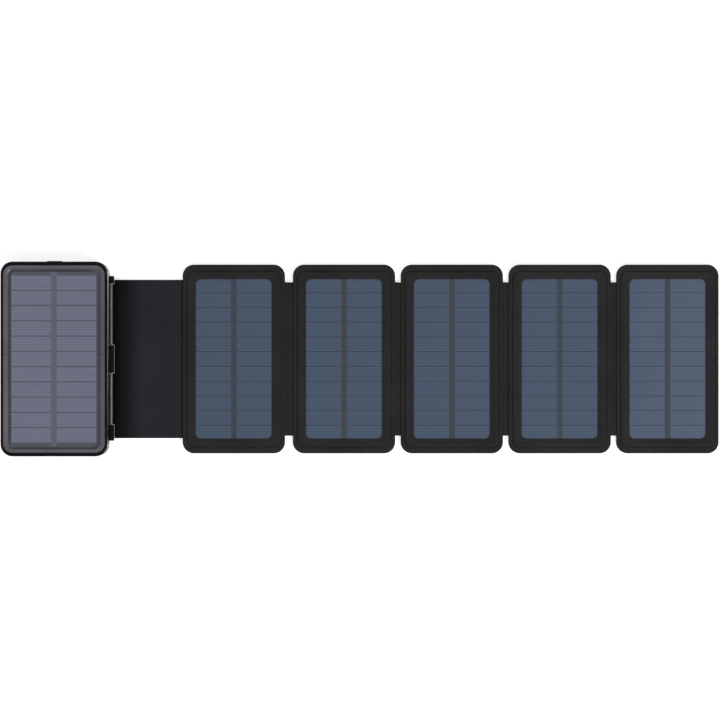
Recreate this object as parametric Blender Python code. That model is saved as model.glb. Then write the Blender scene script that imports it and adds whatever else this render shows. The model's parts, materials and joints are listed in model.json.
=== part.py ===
"""Folding solar charger: a power bank with a solar face, joined by a long pin hinge
and a soft three-strip flap to five thin solar leaves that fold up over it.

The set lies open and face up. The origin is the centre of the bank's underside,
+X runs along the row of leaves, +Y towards the charging ports and +Z up.
Lengths below are in millimetres and become metres as each mesh is made.
"""
import math

import bmesh
import bpy
from mathutils import Matrix, Vector

MM = 0.001
MERGE_MM = 0.0001

# ---- Driving sizes: power bank ----
BANK_W = 85.0
BANK_L = 155.0
BANK_H = 23.0
BANK_R = 9.5
SHELL_H = 22.4
WALL = 3.2
FLOOR = 2.0
RIM_X = 1.8
RIM_Y = 2.7
LEDGE_Z = 18.6
BANK_WINDOW_W = 69.2
BANK_WINDOW_L = 139.2
BANK_WINDOW_R = 3.2

# ---- Driving sizes: leaves and flap ----
LEAF_COUNT = 5
LEAF_W = 82.0
LEAF_L = 151.3
LEAF_R = 9.0
LEAF_T = 4.4
LEAF_WINDOW_W = 61.0
LEAF_WINDOW_L = 128.0
LEAF_WINDOW_R = 3.5
COVER_T = 0.7
BOARD_T = 0.9
FIRST_GAP = 6.3
LEAF_GAP = 4.4
FOLD_L = 123.0
FLAP_L = 127.0
STRIP_T = 1.9
CREASE_PITCH = 18.6
CREASE_GAP = 1.0
LEAF_1_OFFSET = 1.5

# ---- Driving sizes: hinge ----
PIN_OUT = 1.5
PIN_Z = 5.0
PIN_R = 0.8
SLEEVE_WALL = 0.6
LUG_R = 2.6
LUG_SPANS = ((-65.4, -52.6), (-11.2, 11.2), (60.3, 66.4))
TONGUE_T = 0.5

# ---- Clearances ----
CLEAR = 0.3
PIN_CLEAR = 0.05
SLEEVE_CLEAR = 0.1
SCREW_CLEAR = 0.1
STACK_CLEAR = 0.4

# ---- Solar cells ----
CELL_ROWS = 11
CELL_RISE = 0.15
CELL_LINE = 0.5
CELL_DIVIDER = 4.4
LEAF_CELL_W = 30.0
LEAF_CELL_PITCH = 11.8
BANK_CELL_W = 31.6
BANK_CELL_PITCH = 12.13

WIDE_ARC_R = 5.0
WIDE_ARC_STEPS = 8
ARC_STEPS = 4
ROUND_SIDES = 24
SCREW_SIDES = 16

COLLECTION = "folding_solar_charger"


def clear_file():
    """Empty the file of every object."""
    for item in list(bpy.data.objects):
        bpy.data.objects.remove(item, do_unlink=True)


def new_collection(name):
    """Add a collection to the scene."""
    group = bpy.data.collections.new(name)
    bpy.context.scene.collection.children.link(group)
    return group


def material(name, colour, metallic, roughness):
    """Make one Principled material."""
    made = bpy.data.materials.new(name)
    made.use_nodes = True
    shader = made.node_tree.nodes["Principled BSDF"]
    shader.inputs["Base Color"].default_value = (*colour, 1.0)
    shader.inputs["Metallic"].default_value = metallic
    shader.inputs["Roughness"].default_value = roughness
    made.diffuse_color = (*colour, 1.0)
    return made


# ---------------------------------------------------------------- outlines
def rounded(width, length, radius, centre=(0.0, 0.0)):
    """Outline of a rectangle with rounded corners."""
    steps = WIDE_ARC_STEPS if radius >= WIDE_ARC_R else ARC_STEPS
    points = []
    corners = ((1, 1, 0.0), (-1, 1, 90.0), (-1, -1, 180.0), (1, -1, 270.0))
    for sign_x, sign_y, start in corners:
        arc_x = centre[0] + sign_x * (width / 2.0 - radius)
        arc_y = centre[1] + sign_y * (length / 2.0 - radius)
        for step in range(steps + 1):
            angle = math.radians(start + 90.0 * step / steps)
            points.append((arc_x + radius * math.cos(angle), arc_y + radius * math.sin(angle)))
    return points


def box_outline(low, high):
    """Outline of a rectangle given by two opposite corners."""
    return [(low[0], low[1]), (high[0], low[1]), (high[0], high[1]), (low[0], high[1])]


def circle(radius, sides, centre=(0.0, 0.0)):
    """Outline of a circle."""
    turn = 2.0 * math.pi / sides
    return [(centre[0] + radius * math.cos(turn * step), centre[1] + radius * math.sin(turn * step))
            for step in range(sides)]


# ---------------------------------------------------------------- solids
def to_object(name, mesh, group):
    """Wrap a mesh in an object of a collection."""
    made = bpy.data.objects.new(name, mesh)
    group.objects.link(made)
    return made


AXIS_FRAMES = {
    "X": Matrix(((0, 0, 1, 0), (1, 0, 0, 0), (0, 1, 0, 0), (0, 0, 0, 1))),
    "Y": Matrix(((1, 0, 0, 0), (0, 0, -1, 0), (0, 1, 0, 0), (0, 0, 0, 1))),
    "Z": Matrix.Identity(4),
}
AXIS_STEPS = {"X": Vector((1, 0, 0)), "Y": Vector((0, 1, 0)), "Z": Vector((0, 0, 1))}


def prism(name, loops, low, high, axis="Z", soften=0.0, segments=2, ends="both", group=None):
    """Closed prism of flat outlines, from low to high along an axis, with softened end edges.

    The outline lies in XY for axis Z, in XZ for axis Y and in YZ for axis X.
    """
    curve = bpy.data.curves.new(name, "CURVE")
    curve.dimensions = "2D"
    curve.fill_mode = "BOTH"
    curve.extrude = (high - low) / 2.0
    for loop in loops:
        spline = curve.splines.new("POLY")
        spline.points.add(len(loop) - 1)
        for point, (across, along) in zip(spline.points, loop):
            point.co = (across, along, 0.0, 1.0)
        spline.use_cyclic_u = True
    holder = bpy.data.objects.new(name, curve)
    bpy.context.scene.collection.objects.link(holder)
    bpy.context.view_layer.update()
    graph = bpy.context.evaluated_depsgraph_get()
    mesh = bpy.data.meshes.new_from_object(holder.evaluated_get(graph))
    bpy.data.objects.remove(holder, do_unlink=True)
    bpy.data.curves.remove(curve)

    work = bmesh.new()
    work.from_mesh(mesh)
    bmesh.ops.remove_doubles(work, verts=work.verts, dist=MERGE_MM)
    bmesh.ops.dissolve_limit(work, angle_limit=0.001, verts=work.verts, edges=work.edges)
    if soften > 0.0:
        half = (high - low) / 2.0
        wanted = {"both": (half, -half), "high": (half,), "low": (-half,)}[ends]
        edges = [edge for edge in work.edges
                 if any(all(abs(vert.co.z - level) < 1e-4 for vert in edge.verts) for level in wanted)
                 and len(edge.link_faces) == 2 and edge.calc_face_angle() > 0.5]
        bmesh.ops.bevel(work, geom=edges, offset=soften, segments=segments, profile=0.5,
                        affect="EDGES", clamp_overlap=True)
    place = Matrix.Translation(AXIS_STEPS[axis] * (low + high) / 2.0) @ AXIS_FRAMES[axis]
    bmesh.ops.transform(work, matrix=Matrix.Scale(MM, 4) @ place, verts=work.verts)
    bmesh.ops.recalc_face_normals(work, faces=work.faces)
    work.to_mesh(mesh)
    work.free()
    return to_object(name, mesh, group or PARTS)


def block(name, low, high, soften=0.0, group=None):
    """Box between two opposite corners, with softened upright edges' ends."""
    outline = box_outline(low[:2], high[:2])
    return prism(name, [outline], low[2], high[2], "Z", soften, 2, "both", group)


def rod(name, radius, low, high, axis, centre, sides=ROUND_SIDES, soften=0.0, group=None):
    """Round bar along an axis, centred on the two other coordinates."""
    return prism(name, [circle(radius, sides, centre)], low, high, axis, soften, 1, "both", group)


def combine(target, operation, others):
    """Join bodies to a part, or cut them out of it, with exact Booleans."""
    for number, other in enumerate(others):
        for home in list(other.users_collection):
            home.objects.unlink(other)
        CUTTERS.objects.link(other)
        other.hide_render = True
        other.display_type = "WIRE"
        step = target.modifiers.new(f"{operation.lower()}_{len(target.modifiers)}_{number}", "BOOLEAN")
        step.operation = operation
        step.solver = "EXACT"
        step.object = other
    return target


def cut(target, *others):
    """Cut bodies out of a part."""
    return combine(target, "DIFFERENCE", others)


def fuse(target, *others):
    """Join bodies to a part."""
    return combine(target, "UNION", others)


def finish(part, look, origin=(0.0, 0.0, 0.0)):
    """Give a part its material and put its origin on its body's joint axis."""
    shift = Vector(origin) * MM
    part.data.transform(Matrix.Translation(-shift))
    part.location = shift
    part.data.materials.clear()
    part.data.materials.append(look)
    return part


# ---------------------------------------------------------------- derived sizes
PIN_X = BANK_W / 2.0 + PIN_OUT
SLEEVE_IN = PIN_R + SLEEVE_CLEAR
SLEEVE_R = SLEEVE_IN + SLEEVE_WALL
FLAP_CREASE_X = [PIN_X + CREASE_PITCH * step for step in (1, 2, 3)]
CREASE_Z = STRIP_T / 2.0
LEAF_LEFT = [FLAP_CREASE_X[-1] + LEAF_1_OFFSET]
for leaf_number in range(1, LEAF_COUNT):
    gap_before = FIRST_GAP if leaf_number == 1 else LEAF_GAP
    LEAF_LEFT.append(LEAF_LEFT[-1] + LEAF_W + gap_before)
VALLEY_Z = LEAF_T + STACK_CLEAR / 2.0
MOUNTAIN_Z = -STACK_CLEAR / 2.0

LEAF_ORIGINS = [(FLAP_CREASE_X[-1], 0.0, CREASE_Z)]
for leaf_number in range(1, LEAF_COUNT):
    fold_x = (LEAF_LEFT[leaf_number - 1] + LEAF_W + LEAF_LEFT[leaf_number]) / 2.0
    LEAF_ORIGINS.append((fold_x, 0.0, VALLEY_Z if leaf_number % 2 else MOUNTAIN_Z))

BEZEL_W = BANK_W - 2.0 * (RIM_X + CLEAR)
BEZEL_L = BANK_L - 2.0 * (RIM_Y + CLEAR)
BEZEL_R = BANK_R - RIM_X - CLEAR
GASKET_T = 0.4
BEZEL_Z = LEDGE_Z + GASKET_T + 2.0 * CLEAR
SEAT_T = 1.0
INNER_X = BANK_W / 2.0 - WALL
INNER_Y = BANK_L / 2.0 - WALL

# ---------------------------------------------------------------- small sizes
SHELL_EDGE_R = 1.0
POST_X = INNER_X - (BANK_R - WALL)
POST_Y = INNER_Y - (BANK_R - WALL)
POST_R = 2.4
BOSS_R = 4.4
BOSS_TOP = 6.0
PILOT_TOP = 14.0
SCREW_R = 1.1
SCREW_HEAD_R = 2.3
SCREW_HEAD_H = 1.5
SCREW_SINK = 0.3
SCREW_LONG = 11.0

BRACKET_T = 1.1
BRACKET_HALF = 3.1
BRACKET_LOW = PIN_Z - BRACKET_HALF
BRACKET_HIGH = PIN_Z + BRACKET_HALF
BRACKET_GAP = 0.3
BRACKET_BACK = BANK_W / 2.0 - BRACKET_GAP - BRACKET_T
BRACKET_END = 0.5
BRACKET_Y = (LUG_SPANS[0][0] - BRACKET_END, LUG_SPANS[-1][1] + BRACKET_END)
BRACKET_SCREW_Y = (-32.0, 36.0)
BRACKET_SCREW_R = 0.9
BRACKET_HEAD_R = 1.7
BRACKET_SCREW_LONG = 4.8
BRACKET_BOSS_R = 2.6

PORT_WALL = 0.35
USB_A = (13.1, 14.0, 5.7)
USB_C = (8.9, 7.6, 3.2)
USB_A_X = (-15.5, 0.5)
USB_C_X = 14.5
BOARD_Z = 8.0
BOARD_H = 1.6
BOARD_W = 60.0
BOARD_Y = (45.0, INNER_Y - 0.4)
PORT_Z = BOARD_Z + BOARD_H + CLEAR

COVER_W = 46.0
COVER_Z = (7.7, 17.9)
COVER_THICK = 1.3
COVER_PROUD = 0.1
COVER_TAB_W = 12.0
COVER_TAB_OUT = 0.5
COVER_PIVOT = (BANK_L / 2.0 - 0.2, COVER_Z[0] + 0.3)

BUTTON_Y = 44.0
SIDE_Z = 12.0
BUTTON_L = 12.0
BUTTON_H = 5.0
BUTTON_PROUD = 0.3
LIGHT_Y = 24.0
LIGHT_L = 14.0
LIGHT_H = 1.8
TORCH_R = 4.5
FLANGE = 1.0

CELL_BOX_X = 29.5
CELL_BOX_Y = ((-64.0, -12.0), (-10.0, 42.0))
CELL_BOX_H = 15.0

clear_file()
PARTS = new_collection(COLLECTION)
CUTTERS = new_collection("cutters")

SHELL_BLACK = material("shell_black", (0.012, 0.012, 0.014), 0.0, 0.5)
BEZEL_GREY = material("bezel_grey", (0.085, 0.087, 0.1), 0.0, 0.42)
GASKET_BLACK = material("gasket_black", (0.02, 0.02, 0.02), 0.0, 0.8)
CELL_BLUE = material("cell_blue", (0.07, 0.1, 0.16), 0.3, 0.3)
BANK_CELL_BLUE = material("bank_cell_blue", (0.13, 0.14, 0.19), 0.3, 0.3)
POUCH_SILVER = material("pouch_silver", (0.6, 0.62, 0.65), 0.7, 0.4)
BOARD_GREEN = material("board_green", (0.02, 0.12, 0.05), 0.0, 0.4)
PORT_STEEL = material("port_steel", (0.62, 0.63, 0.65), 1.0, 0.3)
BUTTON_GREY = material("button_grey", (0.05, 0.05, 0.055), 0.0, 0.45)
PIPE_CLEAR = material("pipe_clear", (0.75, 0.8, 0.85), 0.0, 0.15)
LENS_CLEAR = material("lens_clear", (0.85, 0.87, 0.9), 0.0, 0.08)
COVER_RUBBER = material("cover_rubber", (0.018, 0.018, 0.018), 0.0, 0.75)
SCREW_STEEL = material("screw_steel", (0.35, 0.36, 0.38), 1.0, 0.35)
BRACKET_BLACK = material("bracket_black", (0.015, 0.015, 0.016), 0.0, 0.4)
PIN_STEEL = material("pin_steel", (0.7, 0.71, 0.73), 1.0, 0.25)
PLATE_STEEL = material("plate_steel", (0.66, 0.67, 0.69), 1.0, 0.3)
FLAP_CLOTH = material("flap_cloth", (0.022, 0.024, 0.027), 0.0, 0.75)
LEAF_CLOTH = material("leaf_cloth", (0.022, 0.023, 0.026), 0.0, 0.7)
FOLD_CLOTH = material("fold_cloth", (0.025, 0.026, 0.029), 0.0, 0.75)
STIFFENER = material("stiffener_board", (0.2, 0.19, 0.17), 0.0, 0.8)


# ---------------------------------------------------------------- solar plates
def solar_plate(name, size, radius, base_z, top_z, centre_x, cell_width, pitch, look, origin):
    """Thin plate with two columns of raised cells, parted by narrow lines."""
    outline = rounded(*size, radius, (centre_x, 0.0))
    plate = prism(name, [outline], base_z, top_z - CELL_RISE)
    work = bmesh.new()
    work.from_mesh(plate.data)
    level = (top_z - CELL_RISE) * MM
    columns = []
    for side in (-1.0, 1.0):
        near = centre_x + side * CELL_DIVIDER / 2.0
        columns.append(sorted((near, near + side * cell_width)))
    span = CELL_ROWS * pitch
    rows = [(-span / 2.0 + row * pitch + CELL_LINE / 2.0, -span / 2.0 + (row + 1) * pitch - CELL_LINE / 2.0)
            for row in range(CELL_ROWS)]
    cuts = [(Vector((x, 0, 0)), Vector((1, 0, 0))) for pair in columns for x in pair]
    cuts += [(Vector((0, y, 0)), Vector((0, 1, 0))) for pair in rows for y in pair]
    for point, normal in cuts:
        top = [face for face in work.faces if face.normal.z > 0.9]
        edges = {edge for face in top for edge in face.edges}
        verts = {vert for face in top for vert in face.verts}
        bmesh.ops.bisect_plane(work, geom=[*top, *edges, *verts], plane_co=point * MM, plane_no=normal,
                               dist=1e-7)
    raised = []
    for face in work.faces:
        centre = face.calc_center_median() / MM
        in_column = any(pair[0] < centre.x < pair[1] for pair in columns)
        in_row = any(pair[0] < centre.y < pair[1] for pair in rows)
        if face.normal.z > 0.9 and abs(centre.z * MM - level) < 1e-6 and in_column and in_row:
            raised.append(face)
    lifted = bmesh.ops.extrude_discrete_faces(work, faces=raised)["faces"]
    moved = {vert for face in lifted for vert in face.verts}
    bmesh.ops.translate(work, verts=list(moved), vec=Vector((0, 0, CELL_RISE * MM)))
    bmesh.ops.recalc_face_normals(work, faces=work.faces)
    work.to_mesh(plate.data)
    work.free()
    return finish(plate, look, origin)


# ---------------------------------------------------------------- bank: shell
def build_rear_shell():
    """Tub of the bank: walls, floor, screw bosses, hinge rebate and openings."""
    shell = prism("rear_shell", [rounded(BANK_W, BANK_L, BANK_R)], 0.0, SHELL_H, "Z", SHELL_EDGE_R, 3)
    cavity = rounded(2.0 * INNER_X, 2.0 * INNER_Y, BANK_R - WALL)
    mouth = rounded(BANK_W - 2.0 * RIM_X, BANK_L - 2.0 * RIM_Y, BANK_R - RIM_X)
    cut(shell, prism("shell_cavity", [cavity], FLOOR, LEDGE_Z + 1.0),
        prism("shell_mouth", [mouth], LEDGE_Z, SHELL_H + 1.0))
    for sign_x in (-1, 1):
        for sign_y in (-1, 1):
            spot = (sign_x * POST_X, sign_y * POST_Y)
            fuse(shell, rod("shell_boss", BOSS_R, FLOOR - 0.5, BOSS_TOP, "Z", spot))
    for sign in (-1, 1):
        edges = sorted((sign * 24.0, sign * 28.0))
        fuse(shell, block("shell_rib", (edges[0], BOARD_Y[0] + 3.0, FLOOR - 0.5),
                          (edges[1], BOARD_Y[1] - 14.0, BOARD_Z - CLEAR)))
    for along in BRACKET_SCREW_Y:
        fuse(shell, rod("bracket_boss", BRACKET_BOSS_R, INNER_X - 2.6, INNER_X + 0.5, "X", (along, PIN_Z)))
    for sign_x in (-1, 1):
        for sign_y in (-1, 1):
            spot = (sign_x * POST_X, sign_y * POST_Y)
            sink = SCREW_SINK + SCREW_HEAD_H + CLEAR
            cut(shell, rod("head_recess", SCREW_HEAD_R + CLEAR, -1.0, sink, "Z", spot, SCREW_SIDES),
                rod("shank_hole", SCREW_R + CLEAR, sink - 0.5, BOSS_TOP + 1.0, "Z", spot, SCREW_SIDES))
    cut(shell, block("hinge_rebate", (BRACKET_BACK - CLEAR, BRACKET_Y[0] - CLEAR, BRACKET_LOW - CLEAR),
                     (BANK_W, BRACKET_Y[1] + CLEAR, BRACKET_HIGH + CLEAR)))
    for along in BRACKET_SCREW_Y:
        cut(shell, rod("bracket_hole", BRACKET_SCREW_R + SCREW_CLEAR, INNER_X - 4.0, BANK_W / 2.0, "X",
                       (along, PIN_Z), SCREW_SIDES))
    recess_y = BANK_L / 2.0 + COVER_PROUD - COVER_THICK - CLEAR
    cut(shell, block("cover_recess", (-COVER_W / 2.0 - CLEAR, recess_y, COVER_Z[0] - CLEAR),
                     (COVER_W / 2.0 + CLEAR, BANK_L, COVER_Z[1] + CLEAR)))
    for middle, size in [(spot, USB_A) for spot in USB_A_X] + [(USB_C_X, USB_C)]:
        cut(shell, block("port_window", (middle - size[0] / 2.0 - CLEAR, INNER_Y - 2.0, PORT_Z - CLEAR),
                         (middle + size[0] / 2.0 + CLEAR, BANK_L / 2.0, PORT_Z + size[2] + CLEAR)))
    oval = rounded(BUTTON_L + 2.0 * CLEAR, BUTTON_H + 2.0 * CLEAR, BUTTON_H / 2.0, (BUTTON_Y, SIDE_Z))
    slot = rounded(LIGHT_L + 2.0 * CLEAR, LIGHT_H + 2.0 * CLEAR, LIGHT_H / 2.0, (LIGHT_Y, SIDE_Z))
    cut(shell, prism("button_hole", [oval], -BANK_W / 2.0 - 1.0, 2.0 - INNER_X, "X"),
        prism("light_hole", [slot], -BANK_W / 2.0 - 1.0, 2.0 - INNER_X, "X"),
        rod("torch_hole", TORCH_R + CLEAR, -BANK_L / 2.0 - 1.0, 2.0 - INNER_Y, "Y", (0.0, SIDE_Z)))
    return finish(shell, SHELL_BLACK)


def build_front_bezel():
    """Bezel round the bank's solar plate, with a seat for it and four screw posts."""
    bezel = prism("front_bezel", [rounded(BEZEL_W, BEZEL_L, BEZEL_R)], BEZEL_Z, BANK_H, "Z", 0.5, 2, "high")
    window = rounded(BANK_WINDOW_W, BANK_WINDOW_L, BANK_WINDOW_R)
    seat = rounded(BANK_WINDOW_W - 5.2, BANK_WINDOW_L - 5.2, BANK_WINDOW_R)
    cut(bezel, prism("bezel_seat", [seat], BEZEL_Z - 1.0, BANK_H),
        prism("bezel_window", [window], BEZEL_Z + SEAT_T, BANK_H + 1.0))
    for sign_x in (-1, 1):
        for sign_y in (-1, 1):
            spot = (sign_x * POST_X, sign_y * POST_Y)
            fuse(bezel, rod("bezel_post", POST_R, BOSS_TOP + CLEAR, BEZEL_Z + 0.5, "Z", spot, SCREW_SIDES))
    for sign_x in (-1, 1):
        for sign_y in (-1, 1):
            spot = (sign_x * POST_X, sign_y * POST_Y)
            cut(bezel, rod("post_pilot", SCREW_R + SCREW_CLEAR, BOSS_TOP, PILOT_TOP, "Z", spot, SCREW_SIDES))
    for sign in (-1, 1):
        edges = sorted((sign * 37.3, sign * 38.9))
        cut(bezel, block("bezel_notch", (edges[0], 2.9, BANK_H - 0.5), (edges[1], 6.1, BANK_H + 1.0)))
    return finish(bezel, BEZEL_GREY)


def build_gasket():
    """Flat seal between the shell's ledge and the bezel."""
    outer = rounded(BEZEL_W, BEZEL_L, BEZEL_R)
    inner = rounded(BEZEL_W - 3.4, BEZEL_L - 3.4, BEZEL_R - 1.7)
    ring = prism("seal_gasket", [outer, inner], LEDGE_Z + CLEAR, LEDGE_Z + CLEAR + GASKET_T)
    return finish(ring, GASKET_BLACK)


def build_case_screws():
    """Four screws that pull the bezel's posts down to the shell."""
    corners = ((-1, -1), (1, -1), (1, 1), (-1, 1))
    for number, (sign_x, sign_y) in enumerate(corners, start=1):
        spot = (sign_x * POST_X, sign_y * POST_Y)
        top = SCREW_SINK + SCREW_HEAD_H
        screw = rod(f"case_screw_{number}", SCREW_HEAD_R, SCREW_SINK, top, "Z", spot, SCREW_SIDES, 0.3)
        fuse(screw, rod("screw_shank", SCREW_R, top - 0.5, top + SCREW_LONG, "Z", spot, SCREW_SIDES, 0.3))
        for half_x, half_y in ((1.3, 0.3), (0.3, 1.3)):
            cut(screw, block("screw_cross", (spot[0] - half_x, spot[1] - half_y, -0.5),
                             (spot[0] + half_x, spot[1] + half_y, SCREW_SINK + 0.7)))
        finish(screw, SCREW_STEEL)


# ---------------------------------------------------------------- bank: inside and small parts
def build_battery_cells():
    """Two pouch cells that lie one behind the other in the tub."""
    for number, (start, end) in enumerate(CELL_BOX_Y, start=1):
        outline = rounded(2.0 * CELL_BOX_X, end - start, 3.0, (0.0, (start + end) / 2.0))
        cell = prism(f"battery_cell_{number}", [outline], FLOOR + CLEAR, FLOOR + CLEAR + CELL_BOX_H,
                     "Z", 1.2, 2)
        finish(cell, POUCH_SILVER)


def build_circuit_board():
    """Charging board with its coil and two chips."""
    board = block("circuit_board", (-BOARD_W / 2.0, BOARD_Y[0], BOARD_Z),
                  (BOARD_W / 2.0, BOARD_Y[1], BOARD_Z + BOARD_H))
    top = BOARD_Z + BOARD_H
    for low, high, rise in (((-22.0, 47.0), (-12.0, 57.0), 4.5), ((-4.0, 48.0), (3.0, 55.0), 1.2),
                            ((10.0, 47.5), (20.0, 53.5), 1.6)):
        fuse(board, block("board_part", (*low, top - 0.5), (*high, top + rise)))
    return finish(board, BOARD_GREEN)


def build_port(name, middle, size, tongue):
    """Metal socket shell, closed at the back, with the contact tongue inside."""
    mouth = BANK_L / 2.0 + COVER_PROUD - COVER_THICK - 2.0 * CLEAR
    half = size[0] / 2.0
    port = block(name, (middle - half, mouth - size[1], PORT_Z), (middle + half, mouth, PORT_Z + size[2]))
    cut(port, block("port_hollow", (middle - half + PORT_WALL, mouth - size[1] + 1.0, PORT_Z + PORT_WALL),
                    (middle + half - PORT_WALL, mouth + 1.0, PORT_Z + size[2] - PORT_WALL)))
    half_width, low, high, reach = tongue
    fuse(port, block("port_tongue", (middle - half_width, mouth - size[1] + 0.5, PORT_Z + low),
                     (middle + half_width, mouth - reach, PORT_Z + high)))
    return finish(port, PORT_STEEL)


def build_port_cover():
    """Rubber door over the sockets, with a pull tab along its upper edge."""
    outer = BANK_L / 2.0 + COVER_PROUD
    outline = rounded(COVER_W, COVER_Z[1] - COVER_Z[0], 0.9, (0.0, sum(COVER_Z) / 2.0))
    door = prism("port_cover", [outline], outer - COVER_THICK, outer, "Y")
    tab = rounded(COVER_TAB_W, 2.4, 0.9, (0.0, COVER_Z[1] - 1.8))
    fuse(door, prism("cover_tab", [tab], outer - 0.5, outer + COVER_TAB_OUT, "Y"))
    return finish(door, COVER_RUBBER, (0.0, COVER_PIVOT[0], COVER_PIVOT[1]))


def build_side_parts():
    """Push button, charge-light strip and torch lens in the bank's walls."""
    oval = rounded(BUTTON_L, BUTTON_H, BUTTON_H / 2.0 - 0.1, (BUTTON_Y, SIDE_Z))
    button = prism("power_button", [oval], -BANK_W / 2.0 - BUTTON_PROUD, 0.9 - INNER_X, "X", 0.3, 2, "low")
    collar = rounded(BUTTON_L + 2.0 * FLANGE, BUTTON_H + 2.0 * FLANGE, 3.0, (BUTTON_Y, SIDE_Z))
    fuse(button, prism("button_collar", [collar], CLEAR - INNER_X, 1.1 - INNER_X, "X"))
    finish(button, BUTTON_GREY, (-BANK_W / 2.0, BUTTON_Y, SIDE_Z))

    slot = rounded(LIGHT_L, LIGHT_H, LIGHT_H / 2.0 - 0.1, (LIGHT_Y, SIDE_Z))
    pipe = prism("light_pipe", [slot], 0.1 - BANK_W / 2.0, 0.9 - INNER_X, "X")
    lip = rounded(LIGHT_L + 2.0 * FLANGE, LIGHT_H + 2.0 * FLANGE, 1.5, (LIGHT_Y, SIDE_Z))
    fuse(pipe, prism("pipe_lip", [lip], CLEAR - INNER_X, 1.1 - INNER_X, "X"))
    finish(pipe, PIPE_CLEAR)

    lens = rod("torch_lens", TORCH_R, 0.2 - BANK_L / 2.0, 0.9 - INNER_Y, "Y", (0.0, SIDE_Z),
               ROUND_SIDES, 0.4)
    fuse(lens, rod("lens_lip", TORCH_R + FLANGE, CLEAR - INNER_Y, 1.1 - INNER_Y, "Y", (0.0, SIDE_Z)))
    finish(lens, LENS_CLEAR)


# ---------------------------------------------------------------- hinge
def lug_outline(root_x):
    """Outline of a lug: a flat root that ends in a half round about the pin."""
    half_turn = ROUND_SIDES // 2
    nose = []
    for step in range(half_turn + 1):
        angle = math.pi * step / half_turn - math.pi / 2.0
        nose.append((PIN_X + LUG_R * math.cos(angle), PIN_Z + LUG_R * math.sin(angle)))
    return [(root_x, PIN_Z - LUG_R), *nose, (root_x, PIN_Z + LUG_R)]


def build_hinge():
    """Black bracket with three lugs, its screws, and the pin through the lugs."""
    back = BRACKET_BACK
    bracket = block("hinge_bracket", (back, BRACKET_Y[0], BRACKET_LOW),
                    (back + BRACKET_T, BRACKET_Y[1], BRACKET_HIGH))
    for low, high in LUG_SPANS:
        fuse(bracket, prism("lug", [lug_outline(back + BRACKET_T / 2.0)], low, high, "Y"))
    cut(bracket, rod("pin_hole", PIN_R + PIN_CLEAR, LUG_SPANS[0][0] - 1.0, LUG_SPANS[-1][1] + 1.0, "Y",
                     (PIN_X, PIN_Z)))
    front = back + BRACKET_T
    for number, along in enumerate(BRACKET_SCREW_Y, start=1):
        cut(bracket, rod("strip_hole", BRACKET_HEAD_R + SCREW_CLEAR, back - 1.0, front + 1.0, "X",
                         (along, PIN_Z), SCREW_SIDES))
        screw = rod(f"bracket_screw_{number}", BRACKET_HEAD_R, back + 0.2, front - 0.1, "X",
                    (along, PIN_Z), SCREW_SIDES, 0.2)
        fuse(screw, rod("bracket_shank", BRACKET_SCREW_R, front - BRACKET_SCREW_LONG, back + 0.6, "X",
                        (along, PIN_Z), SCREW_SIDES, 0.2))
        cut(screw, block("bracket_slot", (front - 0.5, along - 1.2, PIN_Z - 0.25),
                         (front + 0.5, along + 1.2, PIN_Z + 0.25)))
        finish(screw, SCREW_STEEL)
    finish(bracket, BRACKET_BLACK)

    pin = rod("hinge_pin", PIN_R, LUG_SPANS[0][0] + 0.4, LUG_SPANS[-1][1] - 0.4, "Y", (PIN_X, PIN_Z),
              ROUND_SIDES, 0.2)
    finish(pin, PIN_STEEL)


def offset_line(start, end, distance):
    """Shift a slanted line to its upper side by a distance."""
    run = Vector(end) - Vector(start)
    side = Vector((-run.y, run.x)).normalized() * distance
    return Vector(start) + side, run


def level_point(start, run, height):
    """Point of a slanted line at a height."""
    return (start.x + run.x * (height - start.y) / run.y, height)


def column_point(start, run, across):
    """Point of a slanted line at a distance along X."""
    return (across, start.y + run.y * (across - start.x) / run.x)


def radial_slot(angle, inner, outer, width):
    """Outline of a narrow slot that runs out from the pin's axis at an angle."""
    turn = math.radians(angle)
    out = Vector((math.cos(turn), math.sin(turn)))
    side = Vector((-out.y, out.x)) * width / 2.0
    centre = Vector((PIN_X, PIN_Z))
    return [tuple(centre + out * reach + side * sign)
            for reach, sign in ((inner, -1), (outer, -1), (outer, 1), (inner, 1))]


ROLL_SEAM_ANGLE = -80.0
ROLL_SEAM_W = 0.25
SLOPE_START = (PIN_X + 1.0, PIN_Z - 0.7)
SLOPE_END = (PIN_X + 6.5, TONGUE_T / 2.0)
TONGUE_END = PIN_X + 11.0


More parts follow.
